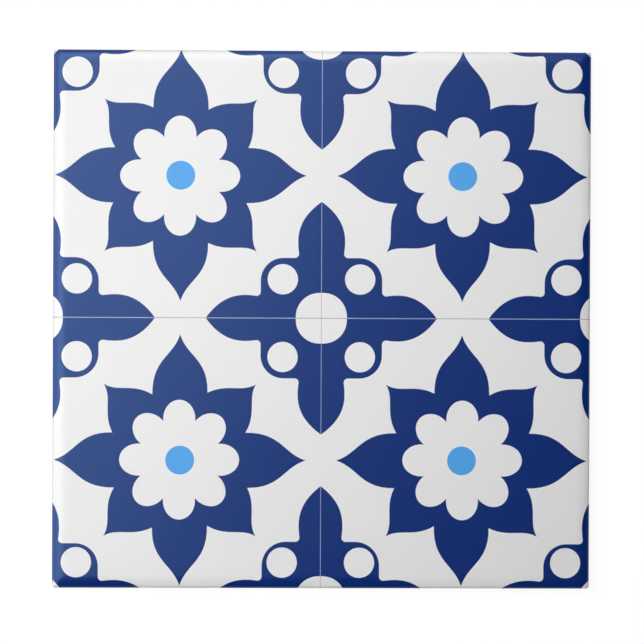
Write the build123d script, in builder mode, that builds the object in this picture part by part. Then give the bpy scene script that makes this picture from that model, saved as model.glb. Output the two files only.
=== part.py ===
"""Decorative wall tile: one piece of pressed, glazed and fired clay.

Millimetres, +Z up. The tile lies on its keyed back with its glazed face up, and the origin is at the
middle of the back. The flat of the face ends in a cushion edge: a shallow arc that falls away from the
flat, then a tighter one, the arris, that turns down to the tile's widest line. Below that line the sides
lean in, as the die that presses such a tile needs. The back has square keys, shallow recesses that the
adhesive grips.
"""

import os
from math import asin, degrees, radians, sin, tan

from build123d import *

# Driving dimensions of the face and its edge
FACE_SIDE = 107.95  # plan size at the widest line, 4 1/4 in
THICKNESS = 6.35  # back to glazed face, 1/4 in
CUSHION_RUN = 2.0  # width of the shallow arc round the flat of the face
CUSHION_DROP = 0.35  # fall of that arc
ARRIS_RADIUS = 1.0  # tighter arc that turns down to the side
CORNER_RADIUS = 0.6  # rounding of the four corners, seen from above
CORNER_LIMIT = 0.85  # largest share of the arris radius that a corner's rounding can take
SIDE_DRAFT = 3.0  # degrees that the sides lean in towards the back
BACK_RADIUS = 0.5  # rounding of the edge round the back

# Driving dimensions of the keys in the back
KEYS_A_SIDE = 6  # an even count, so that two ribs cross at the origin
KEY_RIM = 6.2  # plain rim between the back's rounding and the field of keys
KEY_RIB = 2.0  # rib left between two keys
KEY_DEPTH = 0.7  # recess into the back
KEY_DRAFT = 30.0  # degrees that a key's walls lean inwards
KEY_CORNER = 1.5  # rounding of a key's corners at its mouth

# Worked out from the driving dimensions
half_face = FACE_SIDE / 2
cushion_radius = (CUSHION_RUN**2 + CUSHION_DROP**2) / (2 * CUSHION_DROP)
cushion_turn = degrees(asin(CUSHION_RUN / cushion_radius))
arris_run = ARRIS_RADIUS * (1 - sin(radians(cushion_turn)))
half_flat = half_face - CUSHION_RUN - arris_run
corner_radius = min(CORNER_RADIUS, CORNER_LIMIT * ARRIS_RADIUS)

with BuildPart() as tile:
    # One section serves both ways: it runs through along Y, then along X, and the tile is what they share.
    for across, mode in ((Plane.XZ, Mode.ADD), (Plane.YZ, Mode.INTERSECT)):
        with BuildSketch(across.offset(-FACE_SIDE)):
            with BuildLine():
                flat = Line((0, THICKNESS), (half_flat, THICKNESS))
                cushion = JernArc(flat @ 1, flat % 1, cushion_radius, -cushion_turn)
                arris = JernArc(cushion @ 1, cushion % 1, ARRIS_RADIUS, cushion_turn - 90)
                widest = arris @ 1
                half_back = widest.X - widest.Y * tan(radians(SIDE_DRAFT))
                side = Line(widest, (half_back, 0))
                Line(side @ 1, (0, 0))
                mirror(about=Plane.YZ)
            make_face()
        extrude(amount=2 * FACE_SIDE, mode=mode)

    # Each corner is rounded from the back, over the arris and along the hip of the cushion.
    hips = tile.edges().filter_by(lambda edge: abs(abs(edge.center().X) - abs(edge.center().Y)) < 1e-3)
    fillet(hips, corner_radius)
    back = tile.faces().sort_by(Axis.Z)[0]
    fillet(back.edges(), BACK_RADIUS)

    # The keys share out the back inside its rim, with ribs between them.
    key_field = 2 * (half_back - BACK_RADIUS - KEY_RIM)
    key_pitch = (key_field + KEY_RIB) / KEYS_A_SIDE
    key_side = key_pitch - KEY_RIB
    with BuildSketch(Plane.XY):
        with GridLocations(key_pitch, key_pitch, KEYS_A_SIDE, KEYS_A_SIDE):
            RectangleRounded(key_side, key_side, KEY_CORNER)
    extrude(amount=KEY_DEPTH, taper=KEY_DRAFT, mode=Mode.SUBTRACT)

tile.part.label = "tile"
os.makedirs("parts", exist_ok=True)
export_step(tile.part, "parts/tile.step")
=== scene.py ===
"""Looks of the decorative tile: a blue and white print in a soft white glaze, over a pressed clay body.

Sizes are in millimetres and go through MM on their way into the scene, which is in metres. The print lies in
plan, and a plan point is a complex number, X + Y j: a turn is a product, and a mirror a change of sign.
"""

from cmath import phase, rect
from math import asin, cos, degrees, pi, radians, sin, sqrt, tan

import bpy
import bmesh
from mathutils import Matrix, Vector
from mathutils.geometry import delaunay_2d_cdt


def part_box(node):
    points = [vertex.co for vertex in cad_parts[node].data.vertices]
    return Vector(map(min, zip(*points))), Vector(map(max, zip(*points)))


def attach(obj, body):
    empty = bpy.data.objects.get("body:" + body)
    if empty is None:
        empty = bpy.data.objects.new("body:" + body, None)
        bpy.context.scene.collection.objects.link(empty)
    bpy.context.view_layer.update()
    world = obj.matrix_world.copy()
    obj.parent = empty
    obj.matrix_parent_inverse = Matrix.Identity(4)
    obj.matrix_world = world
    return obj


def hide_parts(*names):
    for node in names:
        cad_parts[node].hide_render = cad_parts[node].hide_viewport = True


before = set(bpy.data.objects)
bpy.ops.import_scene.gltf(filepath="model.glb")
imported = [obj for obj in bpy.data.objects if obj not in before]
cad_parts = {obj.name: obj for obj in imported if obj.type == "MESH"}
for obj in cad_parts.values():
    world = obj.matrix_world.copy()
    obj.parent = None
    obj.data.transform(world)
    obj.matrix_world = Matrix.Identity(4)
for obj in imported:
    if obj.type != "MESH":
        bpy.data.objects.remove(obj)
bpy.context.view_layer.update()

tile_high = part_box("tile")[1]

MM = 0.001

# Edge of the tile, as the solid has it
HALF = tile_high.x / MM
THICKNESS = tile_high.z / MM
CUSHION_RUN = 2.0
CUSHION_DROP = 0.35
ARRIS_RADIUS = 1.0
CORNER_RADIUS = 0.6
SIDE_DRAFT = 3.0
BACK_RADIUS = 0.5

# Edge section, worked out: the tilt of the face's normal grows from 0 on the flat to 90 at the widest line
CUSHION_RADIUS = (CUSHION_RUN**2 + CUSHION_DROP**2) / (2 * CUSHION_DROP)
CUSHION_TILT = degrees(asin(CUSHION_RUN / CUSHION_RADIUS))
ARRIS_RUN = ARRIS_RADIUS * (1 - sin(radians(CUSHION_TILT)))
EDGE_RUN = CUSHION_RUN + ARRIS_RUN
WIDEST = THICKNESS - CUSHION_DROP - ARRIS_RADIUS * cos(radians(CUSHION_TILT))
BACK_INSET = (WIDEST - BACK_RADIUS) * tan(radians(SIDE_DRAFT)) + BACK_RADIUS / cos(radians(SIDE_DRAFT))

# Keys in the back, as the solid has them, and the softening of their edges
KEYS_A_SIDE = 6
KEY_RIM = 6.2
KEY_RIB = 2.0
KEY_DEPTH = 0.7
KEY_DRAFT = 30.0
KEY_CORNER = 1.5
KEY_SOFTENING = 0.2

# Fineness of the mesh
SIDE_PARTS = 54
CORNER_PARTS = 6
CUSHION_PARTS = 8
ARRIS_PARTS = 8
BACK_PARTS = 6
CURVE_PARTS = 14
KEY_SIDE_PARTS = 4
KEY_CORNER_PARTS = 5
KEY_SOFT_PARTS = 2
FILL_STEP = 3.0
TOUCH = 1e-4
ON_RIM = 1e-3
INNER_TRIANGLES = 1
SHARP_ANGLE = 35

# Print: one square, mirrored in the two joints that cross at its centre. The square's X and Y start there
PRINT_CENTRE = -0.156 + 0.293j
JOINT_ACROSS_WIDTH = 0.16
JOINT_UP_WIDTH = 0.11

# Reach of the outer crosses from the centre, to the left and right and down and up
CROSS_ACROSS = {-1: 56.72, 1: 56.97}
CROSS_UP = {-1: 56.82, 1: 56.91}

# Flower in the square: a lotus of pointed petals, a daisy of as many ellipses round a heart, and a light eye
PETALS = 8
FLOWER = 28.27 + 28.53j
DAISY = 28.385 + 28.44j
EYE_RADIUS = 2.89
DAISY_HEART = 8.4
DAISY_PETAL_PLACE = 8.21
DAISY_PETAL_LENGTH = 3.80
DAISY_PETAL_WIDTH = 3.21

# Lotus, with long and short petals in turn: reach of the tips and of the valley after each, turn from tip to
# valley, and the curves' handles as shares of the tip
LOTUS_TIPS = (25.2, 21.55)
LOTUS_VALLEYS = (14.25, 14.6)
LOTUS_VALLEY_TURN = 22.8
LONG_PETAL_HANDLES = (0.822 + 0.056j, 0.805 + 0.224j)
SHORT_PETAL_HANDLES = (0.85 + 0.035j, 0.817 + 0.199j)

# Quarter crosses in the square's corners: lobe's centre and radius, reach and half width of the two arms
INNER_CROSS = (7.63 + 7.53j, 4.54, 23.2 + 4.63j, 23.35 + 4.73j)
UPPER_CROSS = (6.98 + 7.16j, 4.81, 22.75 + 4.36j, 23.15 + 4.41j)
SIDE_CROSS = (7.31 + 7.22j, 4.82, 23.4 + 4.68j, 23.2 + 4.55j)
CORNER_CROSS = (7.56 + 7.01j, 4.58, 23.2 + 4.25j, 22.7 + 4.40j)

# Arms of the crosses: handles of the curve and height of its root, as shares of the reach and the half width
ARM_TIP_HANDLE = 0.850 + 1.045j
ARM_ROOT_HANDLE = 0.697 + 1.058j
ARM_ROOT_HEIGHT = 0.955
ARM_FILLET = 0.85

# White spots on the crosses: a disc in each lobe
LOBE_DISC_PLACE = 7.755 + 7.79j
LOBE_DISC = 3.04

# White spots in their middles, slightly square: half the width, half the height and the corners' radius
INNER_SPOT = (5.13, 5.08, 4.75)
UPPER_SPOT = (5.10, 5.08, 4.75)
SIDE_SPOT = (4.95, 5.13, 4.70)
CORNER_SPOT = (5.08, 5.08, 4.91)

# Coats of the tile, in the order of its material slots
WHITE, COBALT, SKY, PALE_JOINT, GREY_JOINT, CLAY = range(6)

# Noise: the range that its values mostly keep to, and its usual detail
NOISE_LOW = 0.3
NOISE_HIGH = 0.7
NOISE_DETAIL = 2

# Glaze, with its drift in colour and in gloss, and its ripple
GLAZE_ROUGHNESS = 0.304
GLAZE_SPECULAR = 0.43
COLOUR_DRIFT = 0.015
COLOUR_DRIFT_SIZE = 22
GLOSS_DRIFT = 0.012
GLOSS_DRIFT_SIZE = 6
RIPPLE_DEPTH = 0.006
RIPPLE_SIZE = 5
WHITE_COLOUR = (0.80, 0.80, 0.80)
COBALT_COLOUR = (0.001, 0.019, 0.158)
COBALT_GLOSS = (0.41, 0.64, 1.0)
SKY_COLOUR = (0.085, 0.36, 0.79)
PALE_JOINT_COLOUR = (0.33, 0.42, 0.64)
GREY_JOINT_COLOUR = (0.36, 0.36, 0.44)

# Clay, with its mottling from darker to paler, and its grain
CLAY_COLOUR = (0.68, 0.60, 0.49)
CLAY_ROUGHNESS = 0.85
MOTTLE_DARK = 0.88
MOTTLE_PALE = 1.1
MOTTLE_SIZE = 9
MOTTLE_DETAIL = 5
GRAIN_DEPTH = 0.08
GRAIN_SIZE = 0.5
GRAIN_DETAIL = 6

# Line down the sides where the glaze stops: its height, and how it wanders and blurs
GLAZE_LINE = 2.55
GLAZE_LINE_BLUR = 0.15
GLAZE_LINE_WANDER = 0.9
GLAZE_LINE_WANDER_SIZE = 14
GLAZE_LINE_WANDER_DETAIL = 4

# Bake map: a square each for the white, the inks and the back, and strips for the sides and the joints. The
# sides have the first four strips
MAP_FILL = 0.96
MAP_SQUARE = 0.5
MAP_STRIP = 0.08
JOINT_ACROSS_STRIP = 4
JOINT_UP_STRIP = 5

# Stage: a wide pale dish, level in the middle, with an opening that the tile covers
FLOOR_RADIUS = 1200
FLOOR_DROP = 0.02
FLOOR_LAP = 0.3
FLOOR_PARTS = 4
DISH_RADIUS = 900
DISH_TURN = 60
DISH_PARTS = 10
ROUND_PARTS = 96
FLOOR_WHITE = 0.92
FLOOR_SHADOWED = 0.12
FLOOR_COLOUR = 0.8

# Light: a soft box with a grid at the upper left, and a dim room that is brighter below the horizon
LAMP_PLACE = (-131.5, 82.8, 360.3)
LAMP_AIM = (-13.7, 19.6, 0)
LAMP_SIZE = (467, 280)
LAMP_SPREAD = 66.4
LAMP_POWER = 0.434
ROOM_LIGHT = 0.11
LIGHT_FROM_BELOW = 0.6
HORIZON_BLUR = 0.1

# Two bright panels and two small cards beside the tile, for its reflections alone: place, aim, size and power
REFLECTORS = {
    "left_panel": ((-480, 0, 632), (0, 0, 632), (1600, 399), 6.2),
    "back_panel": ((-85, 420, 552), (-85, 0, 552), (290, 349), 2.5),
    "left_card": ((-69, 0, 12), (0, 0, 12), (120, 11), 0.0228),
    "back_card": ((0, 69, 12), (0, 0, 12), (120, 11), 0.0070),
}

# Camera: straight down on the tile, a little to its left
CAMERA_PLACE = (-14.59, 2.8, 600)
CAMERA_TURN = (-0.32, -1.404, 0.243)
CAMERA_LENS = 165.56
CAMERA_SENSOR = 36


def arc(centre, radius, start, end, parts=CURVE_PARTS):
    """Points of an arc between two angles in degrees."""
    return [centre + rect(radius, radians(start + (end - start) * i / parts)) for i in range(parts + 1)]


def disc(centre, radius):
    return arc(centre, radius, 0, 360, 4 * CURVE_PARTS)[:-1]


def bezier(start, start_handle, end_handle, end, parts=CURVE_PARTS):
    """Points of a cubic curve."""
    points = []
    for i in range(parts + 1):
        t = i / parts
        rest = 1 - t
        handles = 3 * rest**2 * t * start_handle + 3 * rest * t**2 * end_handle
        points.append(rest**3 * start + handles + t**3 * end)
    return points


def rounded_square(half, radius, side_parts=SIDE_PARTS, corner_parts=CORNER_PARTS):
    straight = half - radius
    quarter = [complex(half, straight * (2 * i / side_parts - 1)) for i in range(side_parts)]
    quarter += arc(complex(straight, straight), radius, 0, 90, corner_parts)[:-1]
    return [1j**k * point for k in range(4) for point in quarter]


def strip(start, end, width):
    """A thin rectangle along a line."""
    across = (end - start) / abs(end - start) * 1j * width / 2
    return [start - across, end - across, end + across, start + across]


def moved(outline, by):
    return [point + by for point in outline]


def flipped(outline, across, up):
    """An outline with its X, its Y or both turned over, and still counter-clockwise."""
    points = [complex(across * point.real, up * point.imag) for point in outline]
    return points if across == up else points[::-1]


def lotus():
    """Outline of the pointed petals, from valley to valley over each tip."""
    turns = [360 * k / PETALS for k in range(PETALS)]
    tips = [rect(LOTUS_TIPS[k % 2], radians(turn)) for k, turn in enumerate(turns)]
    valleys = [rect(LOTUS_VALLEYS[k % 2], radians(turn + LOTUS_VALLEY_TURN)) for k, turn in enumerate(turns)]
    points = []
    for k, tip in enumerate(tips):
        at_tip, at_valley = SHORT_PETAL_HANDLES if k % 2 else LONG_PETAL_HANDLES
        points += bezier(valleys[k - 1], tip * at_valley.conjugate(), tip * at_tip.conjugate(), tip)[:-1]
        points += bezier(tip, tip * at_tip, tip * at_valley, valleys[k])[:-1]
    return points


def daisy_petal(k):
    petal = []
    for point in disc(0, 1):
        along = DAISY_PETAL_PLACE + DAISY_PETAL_LENGTH * point.real
        petal.append(rect(1, radians(360 * k / PETALS)) * complex(along, DAISY_PETAL_WIDTH * point.imag))
    return petal


def half_arm(arm, side):
    """Upper half of a cross's arm along X, from its tip to the fillet that turns up at a lobe's side."""

    def scaled(share):
        return complex(arm.real * share.real, arm.imag * share.imag)

    root = complex(side + ARM_FILLET, arm.imag * ARM_ROOT_HEIGHT)
    points = bezier(arm.real, scaled(ARM_TIP_HANDLE), scaled(ARM_ROOT_HANDLE), root)[:-1]
    return points + arc(root + 1j * ARM_FILLET, ARM_FILLET, 270, 180)


def quarter_cross(lobe, radius, arm_across, arm_up):
    """Outline of a cross's quarter from its middle: half an arm, a lobe and half the next arm."""
    across = half_arm(arm_across, lobe.real + radius)
    up = [complex(point.imag, point.real) for point in half_arm(arm_up, lobe.imag + radius)]
    return [0] + across + arc(lobe, radius, 0, 90) + up[::-1]


def quarter_spot(half_across, half_up, radius):
    """Outline of the quarter of a cross's white middle."""
    corner = complex(half_across - radius, half_up - radius)
    return [0, half_across] + arc(corner, radius, 0, 90) + [1j * half_up]


def print_square(cross_across, cross_up):
    """Loops of the print's square with their coats, from the lowest to the topmost."""
    loops = [(COBALT, moved(lotus(), FLOWER)), (WHITE, disc(DAISY, DAISY_HEART))]
    loops += [(WHITE, moved(daisy_petal(k), DAISY)) for k in range(PETALS)]
    loops.append((SKY, disc(FLOWER, EYE_RADIUS)))
    for shape, spot, place in (
        (INNER_CROSS, INNER_SPOT, 0),
        (UPPER_CROSS, UPPER_SPOT, 1j * cross_up),
        (SIDE_CROSS, SIDE_SPOT, cross_across),
        (CORNER_CROSS, CORNER_SPOT, complex(cross_across, cross_up)),
    ):
        across = -1 if place.real else 1
        up = -1 if place.imag else 1
        for coat, outline in (
            (COBALT, quarter_cross(*shape)),
            (WHITE, disc(LOBE_DISC_PLACE, LOBE_DISC)),
            (WHITE, quarter_spot(*spot)),
        ):
            loops.append((coat, moved(flipped(outline, across, up), place)))
    return loops


def print_loops():
    """The whole print: its square in four mirror images, with the joints on top."""
    loops = []
    for across in (-1, 1):
        for up in (-1, 1):
            square = print_square(CROSS_ACROSS[across], CROSS_UP[up])
            loops += [(coat, flipped(outline, across, up)) for coat, outline in square]
    for row, cross in ((-CROSS_UP[-1], UPPER_CROSS), (0, INNER_CROSS), (CROSS_UP[1], UPPER_CROSS)):
        *_, arm_up = cross
        reach = arm_up.real
        loops.append((PALE_JOINT, strip(1j * (row - reach), 1j * (row + reach), JOINT_UP_WIDTH)))
    loops.append((PALE_JOINT, strip(-CROSS_ACROSS[-1], CROSS_ACROSS[1], JOINT_ACROSS_WIDTH)))
    return [(coat, moved(outline, PRINT_CENTRE)) for coat, outline in loops]


def top_coat(layers):
    """The coat that shows. A joint is pale on the cobalt and grey on the white."""
    ground = [coat for coat in layers if coat != PALE_JOINT]
    return GREY_JOINT if layers[-1] == PALE_JOINT and ground[-1] == WHITE else layers[-1]


def plan_edge(point):
    """Distance in from the widest line, and the direction out, of a plan point."""
    corner = HALF - CORNER_RADIUS
    a = abs(point.real) - corner
    b = abs(point.imag) - corner
    if abs(a - b) < CORNER_RADIUS:
        inset = (sqrt(2 * CORNER_RADIUS**2 - (a - b) ** 2) - (a + b)) / 2
        out = complex(a + inset, b + inset)
    elif a > b:
        inset = CORNER_RADIUS - a
        out = 1
    else:
        inset = CORNER_RADIUS - b
        out = 1j
    out = complex(out.real if point.real > 0 else -out.real, out.imag if point.imag > 0 else -out.imag)
    return inset, out / abs(out)


def face_section(inset):
    """Height and tilt of the glazed face at a distance in from the widest line."""
    if inset >= EDGE_RUN:
        return THICKNESS, 0
    if inset >= ARRIS_RUN:
        tilt = asin((EDGE_RUN - inset) / CUSHION_RADIUS)
        return THICKNESS - CUSHION_RADIUS * (1 - cos(tilt)), tilt
    tilt = asin(1 - max(inset, 0) / ARRIS_RADIUS)
    return WIDEST + ARRIS_RADIUS * cos(tilt), tilt


def edge_rings():
    """Distances in from the widest line at which the face's mesh follows the edge, by even steps of tilt."""
    rings = []
    for i in range(CUSHION_PARTS + 1):
        rings.append(EDGE_RUN - CUSHION_RADIUS * sin(radians(CUSHION_TILT * i / CUSHION_PARTS)))
    for i in range(1, ARRIS_PARTS):
        tilt = CUSHION_TILT + (90 - CUSHION_TILT) * i / ARRIS_PARTS
        rings.append(ARRIS_RADIUS * (1 - sin(radians(tilt))))
    return rings


def side_section():
    """Distance in from the widest line, height and tilt, down the side and round to the back."""
    rows = []
    for i in range(BACK_PARTS + 1):
        tilt = radians(90 + SIDE_DRAFT + (90 - SIDE_DRAFT) * i / BACK_PARTS)
        rows.append((BACK_INSET - BACK_RADIUS * sin(tilt), BACK_RADIUS * (1 + cos(tilt)), tilt))
    return rows


class Skin:
    """The tile's surface: points with their normals, and faces with their coats."""

    def __init__(self):
        self.points = []
        self.normals = []
        self.faces = []
        self.coats = []

    def point(self, plan, height, normal=None):
        self.points.append(Vector((plan.real, plan.imag, height)) * MM)
        self.normals.append(normal)
        return len(self.points) - 1

    def face(self, corners, coat):
        self.faces.append(corners)
        self.coats.append(coat)

    def wall(self, upper, lower, coat):
        """Faces between two closed rows of points, seen from outside with the first row above."""
        for i in range(len(upper)):
            self.face((upper[i - 1], lower[i - 1], lower[i], upper[i]), coat)


def tilted(out, tilt):
    return Vector((out.real * sin(tilt), out.imag * sin(tilt), cos(tilt)))


def flat_mesh(loops, rings=(), fill=()):
    """Overlapping loops in plan, cut into triangles.

    Returns the points, the triangles, the loops over each triangle, and the given points behind each point.
    """
    points = []
    edges = []
    faces = []
    for loop in loops:
        faces.append(list(range(len(points), len(points) + len(loop))))
        points += loop
    for ring in rings:
        first = len(points)
        points += ring
        edges += [(first + i, first + (i + 1) % len(ring)) for i in range(len(ring))]
    points += fill
    given = [Vector((point.real, point.imag)) for point in points]
    cut = delaunay_2d_cdt(given, edges, faces, INNER_TRIANGLES, TOUCH, True)
    made, _, triangles, from_points, _, from_faces = cut
    return [complex(*point) for point in made], triangles, from_faces, from_points


def glazed_face(skin):
    """The printed face out to the widest line. Returns that line's points in order."""
    loops = print_loops()
    outline = rounded_square(HALF, CORNER_RADIUS)
    rings = [rounded_square(HALF - inset, CORNER_RADIUS) for inset in edge_rings()]
    steps = int((HALF - EDGE_RUN) / FILL_STEP)
    fill = [FILL_STEP * complex(i, j) for i in range(-steps, steps + 1) for j in range(-steps, steps + 1)]
    coats = [WHITE] + [coat for coat, _ in loops]
    plan, triangles, over, _ = flat_mesh([outline] + [loop for _, loop in loops], rings, fill)

    numbers = {}
    rim = []
    for corners, covers in zip(triangles, over):
        if 0 not in covers:
            continue
        for corner in corners:
            if corner not in numbers:
                inset, out = plan_edge(plan[corner])
                height, tilt = face_section(inset)
                numbers[corner] = skin.point(plan[corner], height, tilted(out, tilt))
                if inset < ON_RIM:
                    rim.append(corner)
        coat = top_coat([coats[cover] for cover in sorted(covers)])
        skin.face([numbers[corner] for corner in corners], coat)
    rim.sort(key=lambda corner: phase(plan[corner]))
    return [(numbers[corner], plan[corner]) for corner in rim]


def narrowed(point, inset):
    """A point of the widest line, moved to the same place on a smaller square with the same corners."""
    straight = HALF - CORNER_RADIUS

    def moved_in(value):
        size = abs(value)
        size = size - inset if size > straight else size * (1 - inset / straight)
        return size if value > 0 else -size

    return complex(moved_in(point.real), moved_in(point.imag))


def sides(skin, rim):
    """From the widest line down to the back. Returns the back's outline."""
    upper = [number for number, _ in rim]
    for inset, height, tilt in side_section():
        plan = [narrowed(point, inset) for _, point in rim]
        lower = []
        for (_, point), place in zip(rim, plan):
            lower.append(skin.point(place, height, tilted(plan_edge(point)[1], tilt)))
        skin.wall(upper, lower, CLAY)
        upper = lower
    return list(zip(upper, plan))


def key_rows(half):
    """Rounded squares down one key, each with its depth: a soft mouth, a leaning wall and a soft foot."""
    lean = radians(90 - KEY_DRAFT)
    reach = KEY_SOFTENING * tan(lean / 2)
    rows = []
    for step in range(KEY_SOFT_PARTS + 1):
        turn = lean * step / KEY_SOFT_PARTS
        rows.append((-reach + KEY_SOFTENING * sin(turn), KEY_SOFTENING * (1 - cos(turn))))
    wall = KEY_DEPTH * tan(radians(KEY_DRAFT))
    rows += [(wall - inset, KEY_DEPTH - depth) for inset, depth in reversed(rows)]

    def square(inset):
        return rounded_square(half - inset, KEY_CORNER - inset, KEY_SIDE_PARTS, KEY_CORNER_PARTS)

    return [(square(inset), depth) for inset, depth in rows]


def keyed_back(skin, outline):
    """The back's plane, with its ribs, and the keys sunk in it."""
    field = HALF - BACK_INSET - KEY_RIM
    pitch = (2 * field + KEY_RIB) / KEYS_A_SIDE
    places = [pitch * (i - (KEYS_A_SIDE - 1) / 2) for i in range(KEYS_A_SIDE)]
    middles = [complex(x, y) for x in places for y in places]
    rows = key_rows((pitch - KEY_RIB) / 2)
    mouths = [moved(rows[0][0], middle) for middle in middles]

    plan, triangles, over, from_points = flat_mesh([[point for _, point in outline]] + mouths)
    given = {}
    for made, sources in enumerate(from_points):
        given.update((source, made) for source in sources)
    numbers = {given[i]: number for i, (number, _) in enumerate(outline)}
    for made, point in enumerate(plan):
        if made not in numbers:
            numbers[made] = skin.point(point, 0)
    for corners, covers in zip(triangles, over):
        if covers == [0]:
            skin.face([numbers[corner] for corner in reversed(corners)], CLAY)

    first = len(outline)
    for middle in middles:
        lower = [numbers[given[first + i]] for i in range(len(rows[0][0]))]
        first += len(lower)
        for loop, depth in rows[1:]:
            upper = [skin.point(point, depth) for point in moved(loop, middle)]
            skin.wall(lower, upper, CLAY)
            lower = upper
        skin.face(list(reversed(lower)), CLAY)


def in_cell(across, up, left, bottom, width, height):
    """Place in a cell of the bake map, from two measures that run from -1 to 1."""
    return left + width * (1 + MAP_FILL * across) / 2, bottom + height * (1 + MAP_FILL * up) / 2


def in_square(column, row, across, up):
    return in_cell(across, up, column * MAP_SQUARE, row * MAP_SQUARE, MAP_SQUARE, MAP_SQUARE)


def in_strip(row, along, across):
    return in_cell(along, across, MAP_SQUARE, MAP_SQUARE + row * MAP_STRIP, MAP_SQUARE, MAP_STRIP)


def bake_place(coat, middle, point):
    """Place in the bake map of a face's point. Coats lie apart there, so that no colour runs into another."""
    x = point.x / HALF
    y = point.y / HALF
    if coat == WHITE:
        return in_square(0, 0, x, y)
    if coat in (COBALT, SKY):
        return in_square(1, 0, x, y)
    if coat in (PALE_JOINT, GREY_JOINT):
        if abs(middle.y - PRINT_CENTRE.imag) < JOINT_ACROSS_WIDTH / 2:
            return in_strip(JOINT_ACROSS_STRIP, x, (point.y - PRINT_CENTRE.imag) * 2 / JOINT_ACROSS_WIDTH)
        return in_strip(JOINT_UP_STRIP, y, (point.x - PRINT_CENTRE.real) * 2 / JOINT_UP_WIDTH)
    if max(abs(middle.x), abs(middle.y)) < HALF - BACK_INSET:
        return in_square(0, 1, -x, y)
    if abs(middle.x) > abs(middle.y):
        row, along, out = int(middle.x > 0), y, abs(point.x)
    else:
        row, along, out = 2 + int(middle.y > 0), x, abs(point.y)
    level = (point.z + out - HALF + BACK_INSET) / (WIDEST + BACK_INSET)
    return in_strip(row, along, 2 * level - 1)


def lay_bake_map(mesh):
    layer = mesh.uv_layers.new(name="OFBake")
    for polygon in mesh.polygons:
        middle = polygon.center / MM
        for loop in polygon.loop_indices:
            point = mesh.vertices[mesh.loops[loop].vertex_index].co / MM
            layer.uv[loop].vector = bake_place(polygon.material_index, middle, point)


def tile_mesh():
    skin = Skin()
    rim = glazed_face(skin)
    outline = sides(skin, rim)
    keyed_back(skin, outline)
    mesh = bpy.data.meshes.new("glazed_tile")
    mesh.from_pydata(skin.points, [], skin.faces)
    mesh.polygons.foreach_set("material_index", skin.coats)
    mesh.polygons.foreach_set("use_smooth", [True] * len(skin.faces))
    mesh.set_sharp_from_angle(angle=radians(SHARP_ANGLE))
    automatic = Vector((0, 0, 0))
    mesh.normals_split_custom_set([skin.normals[loop.vertex_index] or automatic for loop in mesh.loops])
    lay_bake_map(mesh)
    mesh.validate()
    return mesh


def new_material(name):
    material = bpy.data.materials.new(name)
    material.use_nodes = True
    tree = material.node_tree
    return material, tree.nodes, tree.links, tree.nodes["Principled BSDF"]


def noise(nodes, links, size, detail=NOISE_DETAIL):
    """Noise in the tile's own space, with features of a given size."""
    where = nodes.new("ShaderNodeTexCoord")
    texture = nodes.new("ShaderNodeTexNoise")
    texture.inputs["Scale"].default_value = 1 / (size * MM)
    texture.inputs["Detail"].default_value = detail
    links.new(where.outputs["Object"], texture.inputs["Vector"])
    return texture.outputs["Fac"]


def ranged(nodes, links, value, low, high, from_low=NOISE_LOW, from_high=NOISE_HIGH):
    """A value spread from one range to another."""
    node = nodes.new("ShaderNodeMapRange")
    for name, number in (("From Min", from_low), ("From Max", from_high), ("To Min", low), ("To Max", high)):
        node.inputs[name].default_value = number
    links.new(value, node.inputs["Value"])
    return node.outputs["Result"]


def mixed(nodes, links, factor, first, second):
    """A blend of two colours. Each is a colour or an output that carries one."""
    node = nodes.new("ShaderNodeMix")
    node.data_type = "RGBA"
    links.new(factor, node.inputs["Factor"])
    sockets = [socket for socket in node.inputs if socket.type == "RGBA"]
    for socket, colour in zip(sockets, (first, second)):
        if isinstance(colour, tuple):
            socket.default_value = (*colour, 1)
        else:
            links.new(colour, socket)
    return next(socket for socket in node.outputs if socket.type == "RGBA")


def bump(nodes, links, height, depth):
    """Bump whose height, from 0 to 1, stands for a depth."""
    node = nodes.new("ShaderNodeBump")
    node.inputs["Strength"].default_value = 1
    node.inputs["Distance"].default_value = depth * MM
    links.new(height, node.inputs["Height"])
    return node.outputs["Normal"]


def shade(colour, factor):
    return tuple(channel * factor for channel in colour)


def glaze(name, colour, gloss=(1, 1, 1)):
    """Fired glaze: its colour drifts a little over the face, and its gloss is soft and not quite even."""
    material, nodes, links, surface = new_material(name)
    drift = noise(nodes, links, COLOUR_DRIFT_SIZE)
    darker = shade(colour, 1 - COLOUR_DRIFT)
    paler = shade(colour, 1 + COLOUR_DRIFT)
    links.new(mixed(nodes, links, drift, darker, paler), surface.inputs["Base Color"])
    uneven = noise(nodes, links, GLOSS_DRIFT_SIZE)
    roughness = ranged(nodes, links, uneven, GLAZE_ROUGHNESS - GLOSS_DRIFT, GLAZE_ROUGHNESS + GLOSS_DRIFT)
    links.new(roughness, surface.inputs["Roughness"])
    links.new(bump(nodes, links, noise(nodes, links, RIPPLE_SIZE), RIPPLE_DEPTH), surface.inputs["Normal"])
    surface.inputs["Specular IOR Level"].default_value = GLAZE_SPECULAR
    surface.inputs["Specular Tint"].default_value = (*gloss, 1)
    return material


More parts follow.
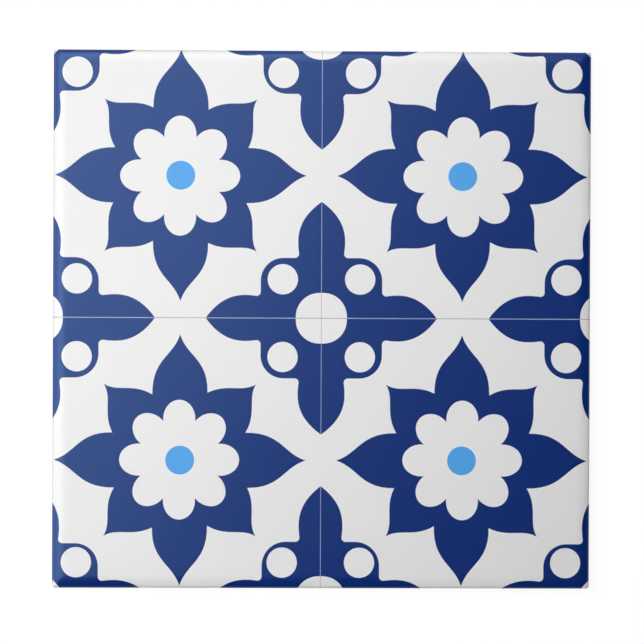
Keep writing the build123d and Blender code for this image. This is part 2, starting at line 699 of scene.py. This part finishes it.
def clay(name, colour, glaze_colour):
    """Bare pressed clay, with the glaze's run down the sides above an uneven line."""
    material, nodes, links, surface = new_material(name)
    where = nodes.new("ShaderNodeTexCoord")
    axes = nodes.new("ShaderNodeSeparateXYZ")
    links.new(where.outputs["Object"], axes.inputs["Vector"])
    uneven = noise(nodes, links, GLAZE_LINE_WANDER_SIZE, GLAZE_LINE_WANDER_DETAIL)
    wander = ranged(nodes, links, uneven, -GLAZE_LINE_WANDER * MM, GLAZE_LINE_WANDER * MM)
    height = nodes.new("ShaderNodeMath")
    height.operation = "ADD"
    links.new(axes.outputs["Z"], height.inputs[0])
    links.new(wander, height.inputs[1])
    bare = (GLAZE_LINE - GLAZE_LINE_BLUR) * MM
    covered = (GLAZE_LINE + GLAZE_LINE_BLUR) * MM
    glazed = ranged(nodes, links, height.outputs["Value"], 0, 1, bare, covered)

    mottle = noise(nodes, links, MOTTLE_SIZE, MOTTLE_DETAIL)
    mottled = mixed(nodes, links, mottle, shade(colour, MOTTLE_DARK), shade(colour, MOTTLE_PALE))
    links.new(mixed(nodes, links, glazed, mottled, glaze_colour), surface.inputs["Base Color"])
    roughness = ranged(nodes, links, glazed, CLAY_ROUGHNESS, GLAZE_ROUGHNESS, 0, 1)
    links.new(roughness, surface.inputs["Roughness"])
    grain = nodes.new("ShaderNodeMath")
    grain.operation = "MULTIPLY"
    links.new(noise(nodes, links, GRAIN_SIZE, GRAIN_DETAIL), grain.inputs[0])
    links.new(ranged(nodes, links, glazed, 1, 0, 0, 1), grain.inputs[1])
    links.new(bump(nodes, links, grain.outputs["Value"], GRAIN_DEPTH), surface.inputs["Normal"])
    surface.inputs["Specular IOR Level"].default_value = GLAZE_SPECULAR
    return material


def make_tile():
    mesh = tile_mesh()
    for material in (
        glaze("white_glaze", WHITE_COLOUR),
        glaze("cobalt_glaze", COBALT_COLOUR, COBALT_GLOSS),
        glaze("sky_glaze", SKY_COLOUR, COBALT_GLOSS),
        glaze("pale_joint_glaze", PALE_JOINT_COLOUR),
        glaze("grey_joint_glaze", GREY_JOINT_COLOUR),
        clay("clay_body", CLAY_COLOUR, WHITE_COLOUR),
    ):
        mesh.materials.append(material)
    tile = bpy.data.objects.new("glazed_tile", mesh)
    bpy.context.collection.objects.link(tile)
    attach(tile, "root")
    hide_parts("tile")


def stage_mesh():
    """A level disc whose rim curves up, with a square opening that lies inside the tile's back."""
    ways = [rect(1, 2 * pi * k / ROUND_PARTS) for k in range(ROUND_PARTS)]
    opening = HALF - BACK_INSET - FLOOR_LAP
    loops = [([opening * way / max(abs(way.real), abs(way.imag)) for way in ways], 0)]
    loops += [([FLOOR_RADIUS / FLOOR_PARTS * i * way for way in ways], 0) for i in range(1, FLOOR_PARTS + 1)]
    for i in range(1, DISH_PARTS + 1):
        turn = radians(DISH_TURN * i / DISH_PARTS)
        radius = FLOOR_RADIUS + DISH_RADIUS * sin(turn)
        loops.append(([radius * way for way in ways], DISH_RADIUS * (1 - cos(turn))))
    shape = bmesh.new()
    rows = []
    for loop, height in loops:
        level = height - FLOOR_DROP
        rows.append([shape.verts.new(Vector((place.real, place.imag, level)) * MM) for place in loop])
    for inner, outer in zip(rows, rows[1:]):
        for k in range(ROUND_PARTS):
            shape.faces.new((inner[k - 1], outer[k - 1], outer[k], inner[k])).smooth = True
    mesh = bpy.data.meshes.new("stage_floor")
    shape.to_mesh(mesh)
    shape.free()
    return mesh


def stage_material():
    """White to the camera and in reflections, with the tile's shadow, and a pale matt to all other light.

    Its underside is clear, so that the tile's back shows from below.
    """
    material, nodes, links, surface = new_material("stage_white")
    nodes.remove(surface)
    path = nodes.new("ShaderNodeLightPath")
    seen = path.outputs["Is Camera Ray"]
    for name in ("Is Glossy Ray", "Is Transmission Ray"):
        either = nodes.new("ShaderNodeMath")
        either.operation = "MAXIMUM"
        links.new(seen, either.inputs[0])
        links.new(path.outputs[name], either.inputs[1])
        seen = either.outputs["Value"]
    pale = nodes.new("ShaderNodeBsdfDiffuse")
    pale.inputs["Color"].default_value = (FLOOR_COLOUR, FLOOR_COLOUR, FLOOR_COLOUR, 1)
    shadowed = nodes.new("ShaderNodeBsdfDiffuse")
    shadowed.inputs["Color"].default_value = (FLOOR_SHADOWED, FLOOR_SHADOWED, FLOOR_SHADOWED, 1)
    glow = nodes.new("ShaderNodeEmission")
    glow.inputs["Strength"].default_value = FLOOR_WHITE
    both = nodes.new("ShaderNodeAddShader")
    links.new(shadowed.outputs["BSDF"], both.inputs[0])
    links.new(glow.outputs["Emission"], both.inputs[1])
    choice = nodes.new("ShaderNodeMixShader")
    links.new(seen, choice.inputs["Fac"])
    links.new(pale.outputs["BSDF"], choice.inputs[1])
    links.new(both.outputs["Shader"], choice.inputs[2])
    clear = nodes.new("ShaderNodeBsdfTransparent")
    side = nodes.new("ShaderNodeNewGeometry")
    one_sided = nodes.new("ShaderNodeMixShader")
    links.new(side.outputs["Backfacing"], one_sided.inputs["Fac"])
    links.new(choice.outputs["Shader"], one_sided.inputs[1])
    links.new(clear.outputs["BSDF"], one_sided.inputs[2])
    links.new(one_sided.outputs["Shader"], nodes["Material Output"].inputs["Surface"])
    return material


def make_stage():
    mesh = stage_mesh()
    mesh.materials.append(stage_material())
    floor = bpy.data.objects.new("stage_floor", mesh)
    bpy.context.collection.objects.link(floor)


def area_lamp(name, place, aim, size, power, spread=180):
    lamp = bpy.data.lights.new(name, "AREA")
    lamp.shape = "RECTANGLE"
    lamp.size = size[0] * MM
    lamp.size_y = size[1] * MM
    lamp.energy = power
    lamp.spread = radians(spread)
    holder = bpy.data.objects.new(name, lamp)
    holder.location = Vector(place) * MM
    holder.rotation_euler = (Vector(aim) - Vector(place)).to_track_quat("-Z", "Y").to_euler()
    bpy.context.collection.objects.link(holder)
    return holder


def make_light():
    area_lamp("soft_box", LAMP_PLACE, LAMP_AIM, LAMP_SIZE, LAMP_POWER, LAMP_SPREAD)
    for name, (place, aim, size, power) in REFLECTORS.items():
        reflector = area_lamp(name, place, aim, size, power)
        reflector.visible_camera = False
        reflector.visible_diffuse = False

    world = bpy.data.worlds.new("room")
    world.use_nodes = True
    nodes = world.node_tree.nodes
    links = world.node_tree.links
    where = nodes.new("ShaderNodeTexCoord")
    axes = nodes.new("ShaderNodeSeparateXYZ")
    links.new(where.outputs["Generated"], axes.inputs["Vector"])
    path = nodes.new("ShaderNodeLightPath")
    strength = nodes.new("ShaderNodeMath")
    strength.operation = "MAXIMUM"
    room = ranged(nodes, links, axes.outputs["Z"], LIGHT_FROM_BELOW, ROOM_LIGHT, -HORIZON_BLUR, 0)
    links.new(room, strength.inputs[0])
    links.new(path.outputs["Is Camera Ray"], strength.inputs[1])
    links.new(strength.outputs["Value"], nodes["Background"].inputs["Strength"])
    nodes["Background"].inputs["Color"].default_value = (1, 1, 1, 1)
    bpy.context.scene.world = world


def make_camera():
    lens = bpy.data.cameras.new("camera")
    lens.lens = CAMERA_LENS
    lens.sensor_width = CAMERA_SENSOR
    camera = bpy.data.objects.new("camera", lens)
    camera.location = Vector(CAMERA_PLACE) * MM
    camera.rotation_euler = [radians(turn) for turn in CAMERA_TURN]
    bpy.context.collection.objects.link(camera)
    bpy.context.scene.camera = camera


make_tile()
make_stage()
make_light()
make_camera()
bpy.context.scene.view_settings.view_transform = "Standard"
